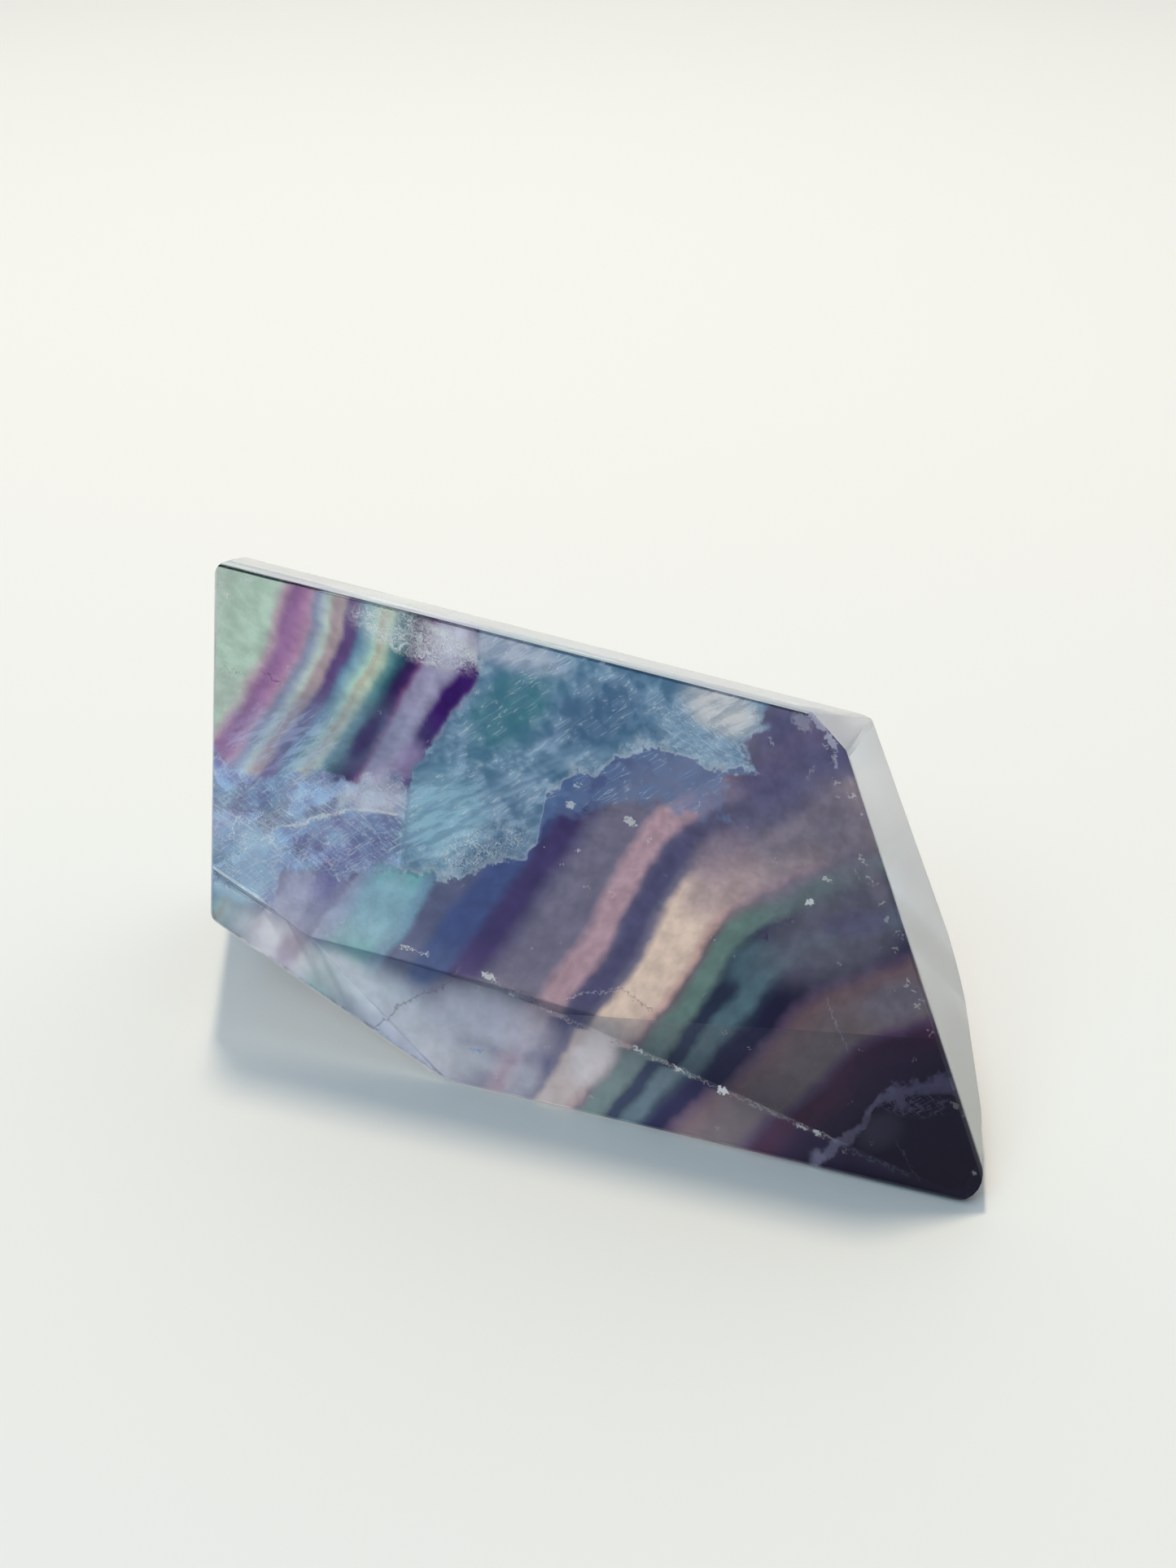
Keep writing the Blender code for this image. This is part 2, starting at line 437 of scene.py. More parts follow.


# ---------------------------------------------------------------- cloudy patches
# Soft-edged tints in the stone, some of them painted light: middle, reach, tilt in degrees,
# colour, strength
TINTS = [
    ((-19.6, 25.8), (2.2, 2.4), 80, "rim grey", 0.7),
    ((-11.0, 24.0), (9.5, 4.0), 10, "film blue", 0.45),
    ((-12.5, 11.5), (8.5, 5.0), 0, "film lilac", 0.60),
    ((-6.0, 12.3), (4.8, 2.9), 62, "mist patch", 0.85),
    ((-17.6, 11.6), (3.8, 1.9), -8, "veil pale", 0.70),
    ((-18.0, 11.4), (2.8, 1.6), -8, "veil bright", 0.80),
    ((-8.4, 24.2), (2.8, 0.9), 62, "ink violet", 0.75),
    ((-5.0, 23.0), (2.4, 1.3), 62, "dusk lilac", 0.70),
    # Painted light: the pale washes below the back edge of the base and the low left edge stand
    # in for the light that the base and the low left facet send up through the stone
    ((-14.6, 7.6), (5.4, 2.6), -22, "warm painted light", 0.85),
    ((-8.8, 6.2), (4.2, 2.2), -26, "green painted light", 0.95),
    ((-4.5, 3.6), (9.0, 4.4), -20, "pale painted light", 0.80),
    ((2.8, 5.6), (6.2, 3.0), -8, "pale painted light", 0.80),
    ((5.6, 1.6), (2.6, 1.6), 60, "pale painted light", 0.45),
    ((10.6, 4.5), (3.4, 1.9), 62, "cream painted light", 1.0),
    ((2.0, 2.4), (2.8, 1.3), 0, "pale painted light", 0.40),
    ((-13.2, 7.6), (2.2, 1.3), 62, "mauve", 0.65),
    ((20.0, 6.3), (3.8, 1.1), 62, "ink navy", 0.70),
    ((21.5, 24.5), (9.0, 7.0), 50, "violet haze", 0.85),
    ((26.3, 24.0), (5.0, 3.4), -62, "mauve haze", 0.85),
    ((18.0, 20.6), (3.4, 2.0), 45, "plum haze", 0.90),
    ((28.8, 20.6), (1.8, 1.1), -60, "mauve haze", 0.70),
    ((22.6, 19.6), (4.6, 1.6), 38, "plum haze", 0.55),
    ((20.6, 26.4), (3.0, 2.2), 20, "dusk violet", 0.75),
    ((21.0, 13.8), (2.8, 1.6), 50, "sea grey", 0.85),
    ((26.5, 22.5), (4.0, 4.5), 60, "slate haze", 0.45),
    ((26.5, 17.0), (7.5, 4.5), 35, "slate haze", 0.80),
    ((18.5, 18.5), (4.5, 2.6), 40, "rose haze", 0.70),
    ((22.5, 29.5), (4.5, 3.0), -10, "dusk violet", 0.85),
    ((27.8, 17.8), (3.2, 1.3), 20, "dusk violet", 0.6),
    ((31.0, 13.0), (3.5, 2.0), 30, "slate haze", 0.6),
    ((36.0, 3.0), (9.0, 6.0), 40, "black violet", 1.0),
    ((-1.5, 31.9), (4.2, 1.7), -6, "veil lilac", 0.45),
    ((-6.5, 32.2), (5.5, 1.9), -10, "feather grey", 0.20),
    ((31.0, 8.4), (6.0, 2.6), 35, "ink plum", 0.6),
    ((31.5, 8.5), (5.0, 2.5), 40, "ink plum", 0.55),
]

# The large cleavage veil: its lower edge, the edge of its dense part, and its two ends
VEIL_LOWER = [
    (-6.0, 15.0), (-1.5, 15.1), (-0.3, 15.2), (0.5, 15.9), (2.0, 17.0), (4.2, 17.6),
    (5.0, 18.6), (5.6, 20.4), (7.0, 21.0), (8.5, 21.6), (10.0, 22.3), (13.0, 22.9),
    (16.0, 22.6), (18.8, 23.0), (22.0, 24.0),
]
VEIL_DENSE = [
    (-6.0, 15.0), (-1.5, 15.1), (-0.3, 15.2), (0.5, 15.9), (2.0, 17.0), (4.2, 17.6),
    (5.0, 18.8), (5.2, 21.6), (5.5, 22.6), (6.3, 23.2), (6.9, 24.1), (9.0, 24.6),
    (9.5, 25.2), (10.2, 26.0), (11.2, 26.7), (13.0, 27.0), (15.0, 26.6), (17.0, 26.4),
    (19.8, 26.4), (22.0, 29.0),
]
VEIL_LEFT = [
    (13.0, -5.0), (22.0, -4.9), (23.0, -4.3), (24.0, -3.7), (25.0, -3.2), (26.0, -2.6),
    (27.0, -2.0), (28.2, -1.2), (29.0, -0.6), (30.0, -0.4), (31.0, -0.6), (34.0, -0.8),
]
VEIL_RIGHT = [
    (22.0, 17.5), (23.0, 18.8), (23.9, 18.0), (25.0, 18.2), (26.2, 18.2), (26.5, 19.9),
    (27.3, 19.2), (28.3, 18.6), (29.5, 20.0), (32.0, 20.5),
]
VEIL_TINTS = [
    ((2.2, 28.0), (5.0, 3.2), 45, "veil teal", 0.8),
    ((8.5, 28.6), (4.5, 2.8), 30, "veil deep", 0.75),
    ((7.5, 25.4), (3.2, 1.1), 18, "veil pale", 0.7),
    ((-2.0, 19.4), (4.4, 4.6), 30, "veil bright", 0.85),
    ((1.6, 17.6), (4.2, 1.5), 28, "veil deep", 0.60),
    ((3.0, 22.8), (3.5, 1.6), 30, "veil pale", 0.45),
    ((15.8, 28.0), (4.2, 2.2), -20, "veil pale", 0.95),
    ((17.0, 30.4), (3.8, 2.2), -15, "veil white", 0.95),
    ((2.0, 32.0), (5.4, 1.7), -8, "veil lilac", 0.85),
]

# The crackle at the left: its upper and lower edge, and its bright crest
CRACKLE_UPPER = [
    (-21.0, 22.3), (-19.0, 21.0), (-17.0, 20.5), (-15.0, 20.3), (-13.5, 21.3), (-12.0, 21.3),
    (-11.0, 21.3), (-10.0, 21.2), (-9.0, 21.3), (-7.0, 21.8), (-5.5, 22.5), (-4.6, 21.8),
]
CRACKLE_LOWER = [
    (-21.0, 11.0), (-17.5, 10.8), (-16.0, 10.4), (-14.8, 10.2), (-14.2, 13.0), (-12.0, 13.5),
    (-9.5, 13.0), (-7.0, 14.5), (-4.6, 15.0),
]
CRACKLE_CREST = [
    (-20.3, 16.4), (-19.0, 16.1), (-17.0, 15.5), (-16.2, 15.4), (-15.3, 15.8), (-14.9, 16.4),
    (-13.0, 17.1), (-10.3, 18.3), (-9.6, 18.8), (-8.5, 18.95), (-7.0, 19.1), (-5.1, 19.1),
]

# The lilac cleavage near the toe, and its rough patch
TOE_VEIL = [
    (26.6, 0.2), (27.3, 1.0), (28.3, 2.0), (29.4, 3.2), (30.2, 4.6), (30.7, 5.8), (31.8, 6.9),
    (33.0, 7.3), (34.5, 8.0), (36.5, 8.2),
]

# The back edge of the base, as it shows through the front face
BASE_BACK_EDGE = [
    (-5.0, 9.6), (2.3, 8.6), (7.0, 7.1), (12.2, 5.9), (16.8, 5.0), (20.1, 4.15), (26.9, 2.7),
    (33.6, 1.2), (39.6, 0.0),
]

# The right edge of the front: how far along it is for each millimetre up, and at the base
RIGHT_EDGE = (-0.481, 39.6)

# Chips and specks: middle, reach, tilt in degrees, colour, strength
MARKS = [
    ((2.3, 8.7), (0.60, 0.32), -10, "frost", 0.85),
    ((4.2, 7.7), (0.22, 0.15), 0, "frost", 0.5),
    ((7.0, 7.1), (0.35, 0.12), -10, "frost", 0.4),
    ((13.8, 5.75), (0.45, 0.16), -15, "frost", 0.75),
    ((12.2, 5.9), (0.7, 0.10), -8, "ink", 0.45),
    ((16.8, 5.0), (0.55, 0.18), -18, "frost", 0.7),
    ((20.1, 4.15), (0.50, 0.30), -15, "frost", 0.95),
    ((25.8, 2.85), (0.55, 0.14), -20, "frost", 0.6),
    ((26.9, 2.7), (0.32, 0.28), 30, "frost", 0.7),
    ((24.4, 18.6), (0.32, 0.30), 0, "frost", 0.9),
    ((21.8, 15.65), (0.16, 0.42), 10, "ink", 0.9),
    ((7.1, 22.15), (0.42, 0.38), 20, "frost", 0.7),
    ((11.5, 21.75), (0.62, 0.30), -20, "frost", 0.75),
    ((7.5, 23.6), (0.35, 0.14), 15, "frost", 0.55),
    ((5.5, 18.8), (0.15, 0.13), 0, "frost", 0.9),
    ((8.0, 19.0), (0.15, 0.13), 0, "frost", 0.6),
    ((7.0, 17.9), (0.15, 0.10), 0, "frost", 0.5),
    ((12.95, 20.7), (0.10, 0.50), -18, "frost", 0.45),
    ((25.4, 20.4), (0.38, 0.13), -25, "frost", 0.55),
    ((27.5, 22.2), (0.55, 0.14), -48, "frost", 0.45),
    ((28.0, 21.1), (0.20, 0.15), 0, "frost", 0.4),
    ((28.7, 20.7), (0.17, 0.15), 0, "frost", 0.4),
    ((29.2, 19.5), (0.25, 0.14), 20, "frost", 0.55),
    ((29.7, 18.4), (0.28, 0.22), -60, "frost", 0.35),
    ((31.6, 14.6), (0.13, 0.22), 20, "frost", 0.45),
    ((32.1, 14.0), (0.13, 0.22), 20, "frost", 0.5),
    ((32.5, 13.1), (0.35, 0.20), 0, "frost", 0.4),
    ((35.8, 6.8), (0.34, 0.22), -50, "frost", 0.35),
    ((36.5, 6.2), (0.18, 0.30), 0, "frost", 0.3),
    ((37.7, 2.3), (0.18, 0.14), 0, "frost", 0.45),
    ((2.0, 3.0), (0.70, 0.16), 5, "veil pale", 0.7),
    ((-18.2, 33.9), (0.55, 0.28), 15, "frost", 0.45),
    ((-20.3, 33.3), (0.28, 0.38), 20, "frost", 0.4),
    ((-19.9, 32.6), (0.34, 0.18), -40, "frost", 0.5),
    ((-20.4, 31.9), (0.14, 0.32), 0, "veil grey", 0.35),
    ((22.4, 30.6), (0.90, 0.60), -35, "veil grey", 0.50),
    ((23.3, 30.9), (1.30, 0.32), -38, "veil grey", 0.75),
    ((24.5, 29.6), (0.95, 0.30), -52, "veil grey", 0.80),
    ((24.9, 28.4), (0.25, 0.55), 20, "veil grey", 0.6),
    ((20.5, 28.9), (0.10, 0.42), 40, "veil grey", 0.5),
    ((23.4, 27.4), (0.09, 0.60), -18, "veil grey", 0.3),
]

# Painted highlights: bright streaks of white painted on the arris at the top left, standing in
# for the key light's glint on it
PAINTED_GLINTS = [
    ((-17.0, 34.62), (0.85, 0.13), -5, "frost", 1.0),
    ((-14.5, 34.42), (1.6, 0.10), -5, "frost", 1.0),
]

# Hairline cracks, and painted lines along edges: points, half width, colour, strength
CRACKS = [
    (((-17.0, 27.8), (-16.0, 27.2), (-15.1, 26.8)), 0.12, "ink violet", 0.6),
    (((-20.3, 27.4), (-17.8, 27.1)), 0.10, "shadow", 0.4),
    (((-7.0, 2.8), (-6.1, 3.0), (-5.0, 4.0), (-4.4, 5.0), (-3.5, 5.6), (-2.5, 6.4),
      (-1.0, 7.2), (0.3, 9.0)), 0.16, "shadow", 0.7),
    (((7.9, 8.0), (8.6, 8.5), (9.3, 8.9), (11.0, 9.4), (12.2, 9.9)), 0.10, "veil grey", 0.55),
    (((11.8, 10.0), (13.2, 9.3), (14.7, 8.7)), 0.10, "umber", 0.6),
    (((26.2, 12.6), (27.0, 11.0), (27.6, 10.0), (28.5, 8.6)), 0.16, "slate", 0.5),
    (((20.3, 15.0), (21.5, 16.0), (22.4, 16.6), (23.8, 17.5)), 0.16, "ink violet", 0.55),
    (((-11.4, 15.3), (-10.4, 14.4), (-9.4, 13.2)), 0.12, "frost", 0.55),
    (((-20.2, 11.3), (-17.5, 10.8), (-16.0, 10.4), (-14.6, 10.0)), 0.13, "frost", 0.5),
    (((28.6, 2.1), (30.0, 1.8), (31.5, 1.5), (33.6, 1.2)), 0.09, "slate", 0.35),
    (((32.2, 3.5), (33.0, 2.5), (33.7, 1.5), (34.4, 0.8)), 0.12, "slate", 0.3),
    (((-12.5, 7.4), (-9.0, 5.5), (-7.0, 4.6)), 0.10, "frost", 0.35),
    (((-4.8, 9.5), (-3.6, 9.4), (-2.2, 9.3)), 0.10, "frost", 0.6),
    # Painted highlight: a faint light line along the back edge of the base, as it shows through
    # the front
    (((2.3, 8.6), (7.0, 7.1), (12.2, 5.9), (16.8, 5.0), (20.1, 4.15), (28.5, 2.35)),
     0.09, "frost", 0.28),
    # Painted shade: a dark line painted along the low left edge, standing in for the dark
    # refraction of the eased edge; it is no crack
    (((-19.6, 8.35), (-12.0, 5.2), (-7.0, 3.1), (-0.4, 0.35)), 0.16, "ink", 0.6),
    (((30.4, 5.4), (31.8, 6.9), (33.0, 7.3), (34.5, 8.0), (36.5, 8.2)), 0.16, "toe lilac", 0.5),
]


# ---------------------------------------------------------------- finishes
class Fluorite(Recipe):
    """Clear, zoned fluorite.

    colour and clouded are what the steps build up, one on the other. Veils, crackle and
    marks cloud the stone, which lets less light through there.
    """

    def __init__(self, name):
        super().__init__(name)
        self.along, self.up, self.deep = self.fanned()
        self.here = (self.along, self.up)
        self.flat = self.join(self.along, self.up)
        self.colour = self.growth()

    def growth(self):
        """The colour of the growth layers."""
        along, up = self.here
        sway = self.cloud(self.flat, 0.10, 2.0)
        ripple = self.cloud(self.flat, 0.8, 3.0)
        steep = self.lean_over(along, up, STEEP)
        shallow = self.lean_over(along, up, SHALLOW, SHALLOW_START)
        position = self.math("SMOOTH_MIN", steep, shallow, CORNER_ROUNDING)
        # The layers stand a little steeper at the top left and in the rose zone,
        # and a little shallower at the right
        position = self.math("ADD", position, self.spread(up, 29.5, 34.5, 0.0, 1.1))
        rose = self.all_of(
            self.spread(position, -2.0, 1.5), self.spread(position, 7.5, 4.5),
            self.math("SUBTRACT", up, 12.0))
        position = self.math("MULTIPLY_ADD", rose, 0.07, position)
        right = self.all_of(self.spread(position, 10.5, 14.0), self.math("SUBTRACT", up, 6.0))
        position = self.math("MULTIPLY_ADD", right, -0.10, position)
        # Below the back edge of the base they are shifted, a painted reflection of the layers in
        # the base
        below = self.beyond(up, self.line(along, BASE_BACK_EDGE), -0.4)
        stepped = self.all_of(below, self.spread(along, 1.0, 5.0, 0.0, 0.85))
        position = self.math("ADD", position, stepped)
        position = self.math("ADD", position, self.spread(sway, 0.25, 0.75, -0.3, 0.3))
        position = self.math("ADD", position, self.spread(ripple, 0.25, 0.75, -0.10, 0.10))
        return self.layer_colour(position)

    def cover(self, amount, name):
        """Lays a named colour over what is there."""
        self.colour = self.blend(amount, self.colour, shade(name))

    def tint(self):
        """The soft tints, painted light among them, and a fine mottle."""
        mottle = self.spread(self.cloud(self.flat, 0.7, 5.0, 0.66), 0.25, 0.75, 0.84, 1.16)
        for middle, reach, degrees, name, strength in TINTS:
            self.cover(self.spot(self.here, middle, reach, degrees, 0.35, strength), name)
        self.colour = self.blend(
            1.0, self.colour, self.join(mottle, mottle, mottle), "MULTIPLY")

    def tear(self):
        """The ragged places and the fine grain that the veils share."""
        self.torn_along, self.torn_up = self.shaken(self.flat, 0.8, 5.0, 0.5)
        self.ragged = self.moved(self.here, (self.torn_along, self.torn_up))
        self.torn = self.join(*self.ragged)
        self.rising = self.streaks(self.flat, 33, 2.2, 0.45, 0.42, 0.62, 4.0)
        self.falling = self.streaks(self.flat, -22, 2.2, 0.22, 0.50, 0.62, 3.0)
        self.billow = self.spread(self.cloud(self.flat, 0.55, 4.0, 0.6), 0.35, 0.66)
        self.thread_rising = self.wisps(self.flat, 40, 3.2, 0.42, 0.03)
        self.thread_falling = self.wisps(self.flat, -30, 2.8, 0.36, 0.03)
        self.thread_cross = self.wisps(self.flat, 70, 1.6, 0.34, 0.035)

    def large_veil(self):
        """The large cleavage veil: a thin haze, and a dense part with a bright crest."""
        ragged_along, ragged_up = self.ragged
        ends = self.all_of(
            self.beyond(self.along, self.line(ragged_up, VEIL_LEFT), 0.3),
            self.beyond(ragged_along, self.line(self.up, VEIL_RIGHT), -0.5))
        over_lower = self.beyond(ragged_up, self.line(self.along, VEIL_LOWER), 0.9)
        self.veil = self.all_of(over_lower, ends)
        over_dense = self.math("SUBTRACT", ragged_up, self.line(self.along, VEIL_DENSE))
        self.dense = self.all_of(self.spread(over_dense, 0.0, 0.25), ends)
        self.crest = self.all_of(self.spread(over_dense, 0.9, 0.1), self.dense)

        colour = self.blend(self.billow, shade("veil blue"), shade("veil pale"))
        for middle, reach, degrees, name, strength in VEIL_TINTS:
            amount = self.spot(self.here, middle, reach, degrees, 0.35, strength)
            colour = self.blend(amount, colour, shade(name))
        colour = self.blend(self.part(self.rising, 0.4), colour, shade("veil deep"))
        thin = self.all_of(self.veil, self.spread(self.billow, 0.0, 1.0, 0.46, 0.76))
        self.cover(thin, "veil dusk")
        self.colour = self.blend(self.part(self.dense, 0.86), self.colour, colour)

    def film(self):
        """The film over the lower ends of the left layers."""
        wisps = self.any_of(self.rising, self.thread_rising, self.part(self.billow, 0.5))
        bed = self.spot(self.ragged, (-15.0, 22.6), (6.2, 3.4), 18, 0.45)
        self.cover(self.part(self.all_of(bed, wisps), 0.72), "film light")

    def left_crackle(self):
        """The crackle at the left, flake by flake, with its bruises and a lilac flake."""
        ragged_up = self.ragged[1]
        self.crackle = self.all_of(
            self.beyond(ragged_up, self.line(self.along, CRACKLE_UPPER), -0.8),
            self.beyond(ragged_up, self.line(self.along, CRACKLE_LOWER), 0.8),
            self.beyond(self.along, -4.7, -0.4))
        colour = self.blend(self.billow, shade("crackle lilac"), shade("crackle blue"))
        blue_end = self.spot(self.here, (-17.5, 13.5), (4.2, 3.6), 0, 0.6)
        colour = self.blend(self.part(blue_end, 0.7), colour, shade("veil pale"))
        self.flake_lines, self.flake_tone = self.cells(self.torn, 18, 2.6, 1.3, 0.085)
        flake = self.spread(self.flake_tone, 0.0, 1.0, 0.72, 1.22)
        colour = self.blend(1.0, colour, self.join(flake, flake, flake), "MULTIPLY")
        self.colour = self.blend(self.part(self.crackle, 0.8), self.colour, colour)

        bruise = self.any_of(
            self.spot(self.ragged, (-10.4, 14.0), (3.2, 1.5), 75, 0.3, 0.65),
            self.spot(self.ragged, (-6.6, 17.2), (2.6, 1.3), 10, 0.3, 0.45))
        self.cover(bruise, "bruise violet")
        lilac = self.all_of(
            self.spot(self.ragged, (-7.2, 20.4), (3.2, 1.6), 6, 0.5, 0.45),
            self.beyond(self.along, -4.9, -0.3))
        self.cover(lilac, "veil lilac")
        self.clouded = self.part(self.any_of(self.dense, self.crackle), 0.30)

    def toe_cleavage(self):
        """The lilac cleavage near the toe: a strip, a rough patch and a faint glow."""
        gap = self.math("SUBTRACT", self.ragged[1], self.line(self.along, TOE_VEIL))
        strip = self.all_of(
            self.spread(self.math("ABSOLUTE", gap), 0.8, 0.2),
            self.beyond(self.along, 26.4, 0.8),
            self.spread(self.torn_along, -0.6, 0.6, 0.40, 0.85))
        patch = self.all_of(
            self.spot(self.here, (33.2, 6.2), (2.9, 1.1), 12, 0.6, 0.65),
            self.spread(gap, 0.3, -0.2),
            self.any_of(
                self.thread_rising, self.thread_falling, self.spread(self.torn_up, 0.0, 0.5)))
        glow = self.all_of(
            self.spot(self.here, (31.2, 3.8), (2.2, 1.6), 40, 0.3, 0.15),
            self.spread(gap, 0.3, -0.5))
        self.cover(self.any_of(strip, patch, glow), "toe lilac")

    def frost(self):
        """White feathers, needles, threads, flakes and crests."""
        over_crest = self.math("SUBTRACT", self.up, self.line(self.ragged[0], CRACKLE_CREST))
        before_end = self.beyond(self.along, -4.9, -0.3)
        left_crest = self.all_of(
            self.spread(self.math("ABSOLUTE", over_crest), 0.26, 0.04),
            self.spread(self.torn_up, -0.5, 0.2, 0.55, 1.0),
            self.spread(self.along, -15.8, -14.6, 0.35, 1.0), before_end)
        above_crest = self.all_of(
            self.spread(over_crest, 0.0, 0.2), self.spread(over_crest, 2.6, 0.6), self.crackle)
        lilac_flake = self.all_of(
            above_crest, self.beyond(self.along, -10.6, 0.6), before_end)
        feather_lines = self.wisps(self.torn, -16, 2.2, 0.30, 0.10, 2.0, 0.8)
        feathers = self.all_of(
            self.spot(self.here, (-5.2, 31.8), (6.4, 1.9), -12, 0.6),
            self.any_of(feather_lines, self.part(self.falling, 0.4)))
        needle_lines, needle_tone = self.cells(self.torn, 38, 1.1, 0.34, 0.10)
        needles = self.all_of(
            self.spot(self.here, (0.8, 17.8), (5.2, 2.0), 28, 0.5), self.dense,
            self.any_of(needle_lines, self.thread_falling, self.thread_cross),
            self.spread(needle_tone, 0.1, 0.7, 0.35, 1.0))
        threads = self.any_of(
            self.all_of(self.veil, self.thread_rising, self.spread(self.billow, 0.3, 0.9)),
            self.all_of(self.crackle, self.any_of(self.thread_falling, self.thread_rising)))
        tip = self.all_of(
            self.spot(self.here, (16.0, 28.5), (5.0, 3.0), -20, 0.5),
            self.thread_falling, self.dense)
        star = self.spot(self.here, (-16.6, 15.8), (4.2, 2.4), 10, 0.4)
        flakes = self.all_of(
            self.crackle, self.flake_lines, self.spread(self.flake_tone, 0.3, 0.9),
            self.math("MULTIPLY_ADD", star, 0.6, 0.4))
        white = self.any_of(
            flakes,
            self.part(left_crest, 0.85),
            self.all_of(lilac_flake, self.spread(self.torn_along, -0.4, 0.4, 0.2, 0.6)),
            self.all_of(above_crest, self.spread(self.falling, 0.2, 1.0, 0.1, 0.55)),
            self.part(feathers, 0.95),
            self.part(needles, 0.7),
            self.part(threads, 0.5),
            self.part(tip, 0.5),
            self.part(self.crest, 0.45))
        self.cover(white, "frost")
        self.clouded = self.any_of(self.clouded, self.part(white, 0.8))

    def wear(self):
        """Cracks and painted lines along edges, chips, painted highlights on the top left arris,
        and specks.
        """
        nibbled = self.moved(self.here, self.shaken(self.flat, 2.6, 2.0, 0.22))
        for points, width, name, strength in CRACKS:
            self.cover(self.hairline(nibbled[1], self.along, points, width, strength), name)

        # Marks of one colour are gathered first, then laid on together; the painted highlights
        # go in with the white chips
        chipped = self.moved(self.here, self.shaken(self.flat, 3.4, 1.0, 0.13))
        marks = {}
        for places, group in ((chipped, MARKS), (self.here, PAINTED_GLINTS)):
            for middle, reach, degrees, name, strength in group:
                mark = self.spot(places, middle, reach, degrees, 0.6, strength)
                marks[name] = self.any_of(marks.get(name, 0.0), mark)
        for name, mark in marks.items():
            self.cover(mark, name)
            if name != "ink":
                self.clouded = self.any_of(self.clouded, self.part(mark, 0.8))

        nibbled_flat = self.join(*nibbled)
        right_edge = self.math("MULTIPLY_ADD", self.up, *RIGHT_EDGE)
        to_edge = self.math("SUBTRACT", right_edge, self.along)
        edge_band = self.all_of(self.spread(to_edge, 2.6, 1.2), self.spread(to_edge, 0.1, 0.4))
        edge_specks = self.all_of(self.specks(nibbled_flat, 0.95, 0.14, 0.2), edge_band)
        dust = self.specks(nibbled_flat, 0.55, 0.16, 0.06)
        self.cover(self.any_of(self.part(edge_specks, 0.35), self.part(dust, 0.3)), "frost")

    def polish(self):
        """The clear shader under a high polish."""
        # The colour is paler at the back, where the light comes in, and palest near the base
        over_base_edge = self.math("SUBTRACT", self.up, self.line(self.along, BASE_BACK_EDGE))
        paler = self.all_of(
            self.spread(self.deep, 2.0, 9.0), self.spread(over_base_edge, -1.0, 3.5, 1.0, 0.5))
        weight = self.nodes.new("ShaderNodeGamma")
        self.feed(weight.inputs["Color"], self.colour)
        self.feed(weight.inputs["Gamma"], self.math("SUBTRACT", FRONT_GAMMA, paler))
        clear = self.math("SUBTRACT", 1.0, self.clouded)
        self.feed(self.shader.inputs["Base Color"], weight.outputs[0])
        self.feed(self.shader.inputs["Transmission Weight"], clear)
        self.shader.inputs["Roughness"].default_value = POLISHED
        self.shader.inputs["Specular Tint"].default_value = SHEEN
        self.shader.inputs["IOR"].default_value = FLUORITE_IOR

    def frosted(self, colour, clear, roughness):
        """A plain, less polished shader."""
        self.feed(self.shader.inputs["Base Color"], colour)
        self.shader.inputs["Transmission Weight"].default_value = clear
        self.shader.inputs["Roughness"].default_value = roughness
        self.shader.inputs["IOR"].default_value = FLUORITE_IOR


def front_fluorite():
    """The front: zoned and clear, with its veils, cracks and chips."""
    stone = Fluorite("front_fluorite")
    stone.tint()
    stone.tear()
    stone.large_veil()
    stone.film()
    stone.left_crackle()
    stone.toe_cleavage()
    stone.frost()
    stone.wear()
    stone.polish()
    return stone.material


def back_fluorite():
    """The back and the left: the same zones and the veils, with no cracks or chips."""
    stone = Fluorite("back_fluorite")
    stone.tint()
    stone.tear()
    stone.large_veil()
    stone.left_crackle()
    stone.polish()
    return stone.material


def ground_facet(name, most_tint, clear, roughness):
    """A facet ground flat but left less polished: it throws the light back into the stone."""
    stone = Fluorite(name)
    zoned = stone.spread(stone.along, 2.0, 33.0, 0.0, most_tint)
    colour = stone.blend(zoned, NEARLY_WHITE, stone.colour)
    stone.frosted(colour, clear, roughness)
    return stone.material


def pale_rim():
    """The narrow facets along the top and the right: a pale painted reflection of the bright
    surroundings they catch at a grazing angle, darker towards the bottom, with a trace of the
    layers.
    """
    stone = Fluorite("pale_rim")
    pale = stone.blend(stone.spread(stone.up, 3.0, 28.0), shade("rim painted reflection low"), shade("rim painted reflection high"))
    stone.frosted(stone.blend(0.14, pale, stone.colour), 0.55, 0.22)
    return stone.material


# ---------------------------------------------------------------- the stone
EASED_AREA = 12.0  # square millimetres; anything smaller is part of an eased edge


def copy_of_stone(name):
    """The cut stone as one clean mesh with flat facets, for a piece of its own."""
    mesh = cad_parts["fluorite_stone"].data.copy()
    mesh.name = name
    mesh.materials.clear()
    stone = bpy.data.objects.new(name, mesh)
    bpy.context.scene.collection.objects.link(stone)
    bpy.ops.object.select_all(action="DESELECT")
    stone.select_set(True)
    bpy.context.view_layer.objects.active = stone
    bpy.ops.object.mode_set(mode="EDIT")
    bpy.ops.mesh.select_all(action="SELECT")
    bpy.ops.mesh.remove_doubles(threshold=0.001 * MM)
    bpy.ops.mesh.dissolve_limited(angle_limit=math.radians(0.3))
    bpy.ops.object.mode_set(mode="OBJECT")
    return stone


# The stone's finishes, in the order of its materials
FRONT, RIM, BASE, LOW_LEFT, BACK = range(5)


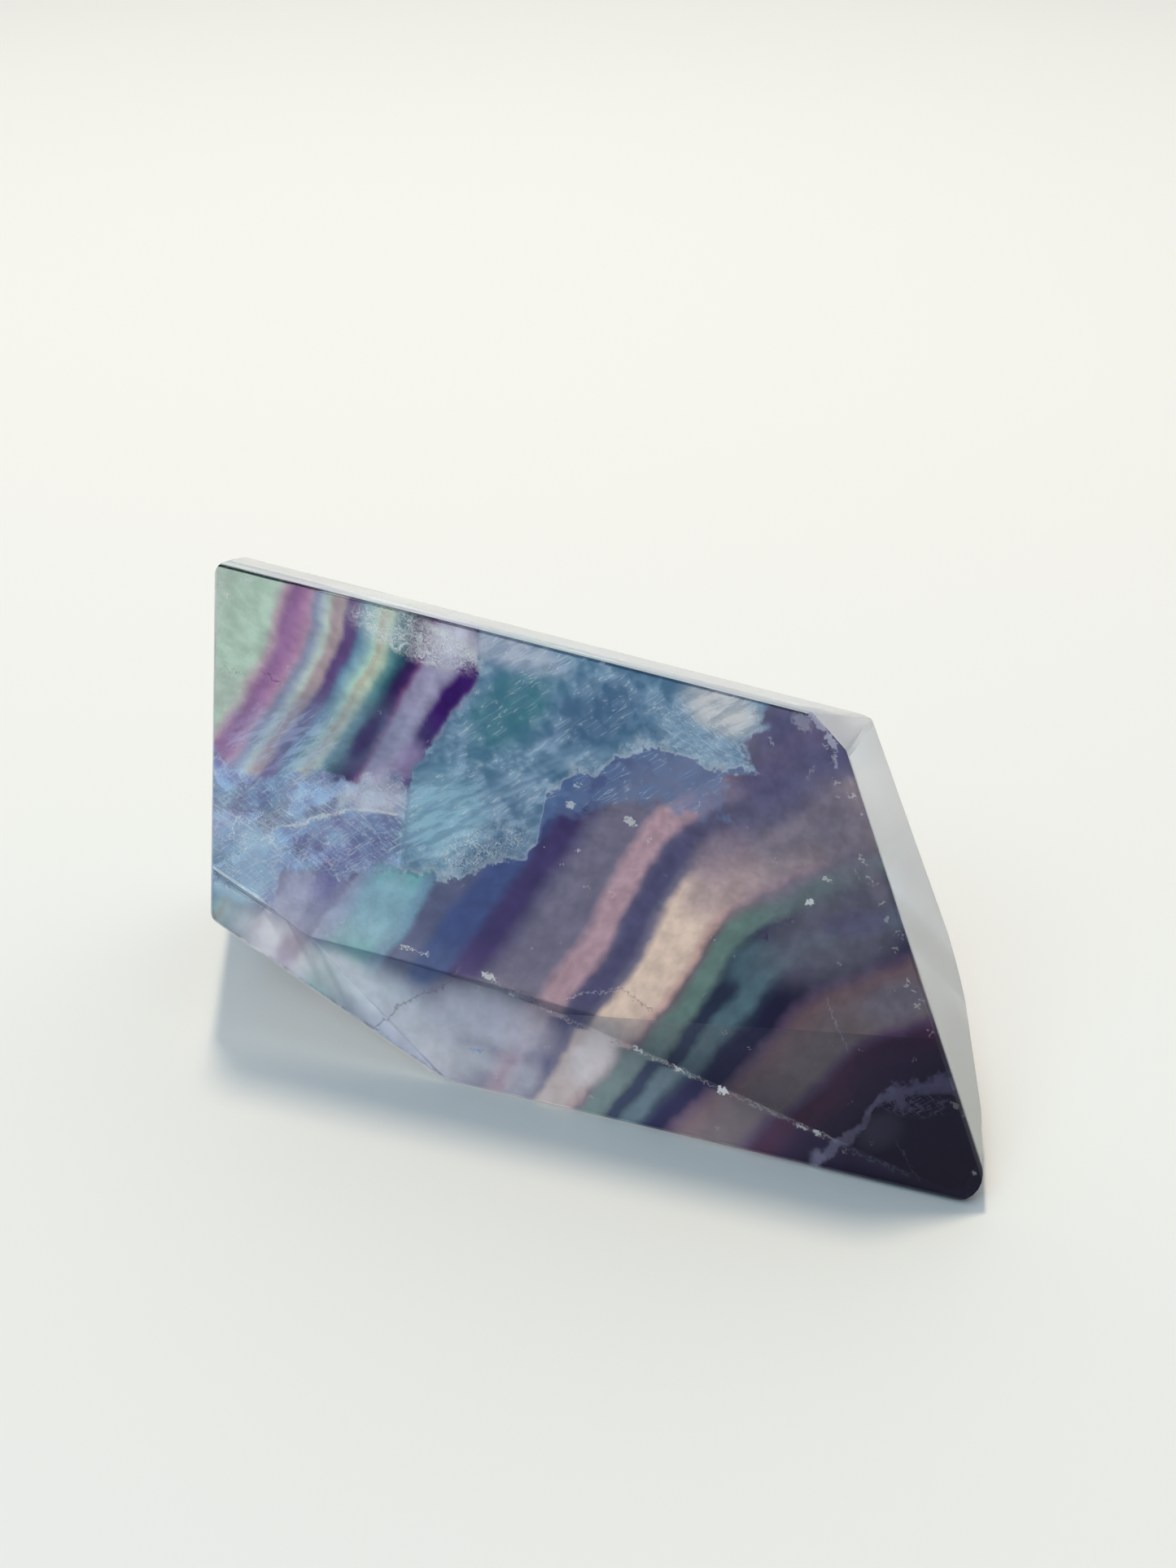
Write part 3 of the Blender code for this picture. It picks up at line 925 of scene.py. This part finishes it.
def finish_of(normal):
    """Which finish a facet has, by the way it faces.

    The limits also say which finish each narrow cut along an eased edge goes with.
    """
    x, y, z = normal
    back_edge_of_base = z < -0.35 and abs(x) < 0.04 and y > 0.0
    if z < -0.88 or back_edge_of_base:
        return BASE
    if z < -0.3 and x < -0.04 and -0.9 < y < 0.93:
        return LOW_LEFT
    top = -0.7 < x - y < 0.85 and -0.9 < y < 0.8 and z > 0.2
    right = -0.5 < y < 0.8 and x + z > 0.55
    if top or right:
        return RIM
    return FRONT if y < -0.5 else BACK


def polished_stone():
    stone = copy_of_stone("polished_stone")
    for material in (
        front_fluorite(),
        pale_rim(),
        ground_facet("ground_base", 1.0, 0.8, 0.5),
        ground_facet("low_left_facet", 0.6, 0.95, 0.22),
        back_fluorite(),
    ):
        stone.data.materials.append(material)
    for face in stone.data.polygons:
        face.material_index = finish_of(face.normal)
        face.use_smooth = face.area < EASED_AREA * MM * MM
    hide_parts("fluorite_stone")
    return stone


# ---------------------------------------------------------------- stage
CAMERA_FROM_HEEL = Vector((52.70, -113.31, 96.73))  # millimetres
CAMERA_TILT = math.radians(60.0)
CAMERA_TURN = math.radians(20.35)
FLOOR_GAP = 0.05  # millimetres between the floor and the stone, so that they never touch


def floor():
    bpy.ops.mesh.primitive_plane_add(size=5.0, location=(0, 0, -FLOOR_GAP * MM))
    plane = bpy.context.object
    plane.name = "studio_floor"
    recipe = Recipe("pale_floor")
    recipe.shader.inputs["Base Color"].default_value = (0.83, 0.82, 0.79, 1.0)
    recipe.shader.inputs["Roughness"].default_value = 0.9
    plane.data.materials.append(recipe.material)


def sky():
    """A soft cool sky, brightest high behind the stone."""
    world = bpy.data.worlds.new("soft_sky")
    bpy.context.scene.world = world
    world.use_nodes = True
    nodes = world.node_tree.nodes
    links = world.node_tree.links
    direction = nodes.new("ShaderNodeTexCoord")

    def glow(towards, start, end, low, high):
        """Brightness that grows from low to high as the sky nears a direction."""
        near = nodes.new("ShaderNodeVectorMath")
        near.operation = "DOT_PRODUCT"
        near.inputs[1].default_value = Vector(towards).normalized()
        links.new(direction.outputs["Generated"], near.inputs[0])
        rise = nodes.new("ShaderNodeMapRange")
        rise.interpolation_type = "SMOOTHSTEP"
        rise.inputs["From Min"].default_value = start
        rise.inputs["From Max"].default_value = end
        rise.inputs["To Min"].default_value = low
        rise.inputs["To Max"].default_value = high
        links.new(near.outputs["Value"], rise.inputs["Value"])
        return rise.outputs["Result"]

    total = nodes.new("ShaderNodeMath")
    dome = glow(towards=(0.0, 0.6, 0.8), start=-0.7, end=0.9, low=0.05, high=0.32)
    bright_patch = glow(towards=(-0.15, 0.55, 0.8), start=0.6, end=0.95, low=0.0, high=0.95)
    links.new(dome, total.inputs[0])
    links.new(bright_patch, total.inputs[1])
    background = nodes["Background"]
    background.inputs["Color"].default_value = (0.86, 0.93, 1.0, 1.0)
    links.new(total.outputs[0], background.inputs["Strength"])


def lamp(name, size, energy, colour, towards, distance):
    """A round light that faces the stone."""
    light = bpy.data.lights.new(name, "AREA")
    light.shape = "DISK"
    light.size = size
    light.energy = energy
    light.color = colour
    holder = bpy.data.objects.new(name, light)
    bpy.context.scene.collection.objects.link(holder)
    towards = Vector(towards).normalized()
    holder.location = towards * distance
    holder.rotation_euler = towards.to_track_quat("Z", "Y").to_euler()


def camera():
    data = bpy.data.cameras.new("camera")
    data.lens = 50
    data.sensor_width = 36
    data.clip_start = 1 * MM
    holder = bpy.data.objects.new("camera", data)
    bpy.context.scene.collection.objects.link(holder)
    holder.location = (HEEL + CAMERA_FROM_HEEL) * MM
    holder.rotation_euler = (CAMERA_TILT, 0, CAMERA_TURN)
    bpy.context.scene.camera = holder


def studio():
    """A pale floor, a soft sky, a warm key light high behind the stone and a cool fill."""
    floor()
    sky()
    lamp("key_light", size=0.084, energy=2.5, colour=(1.0, 0.87, 0.68),
         towards=(-0.20, 0.43, 1.0), distance=0.7)
    lamp("fill_light", size=0.6, energy=2.2, colour=(0.48, 0.80, 1.0),
         towards=(-0.25, -0.80, 1.0), distance=1.0)
    camera()
    scene = bpy.context.scene
    scene.view_settings.view_transform = "Standard"
    scene.cycles.max_bounces = 9
    scene.cycles.transmission_bounces = 8
    scene.cycles.sample_clamp_indirect = 6.0


bpy.ops.object.select_all(action="DESELECT")
studio()
stone = polished_stone()
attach(stone, "root")
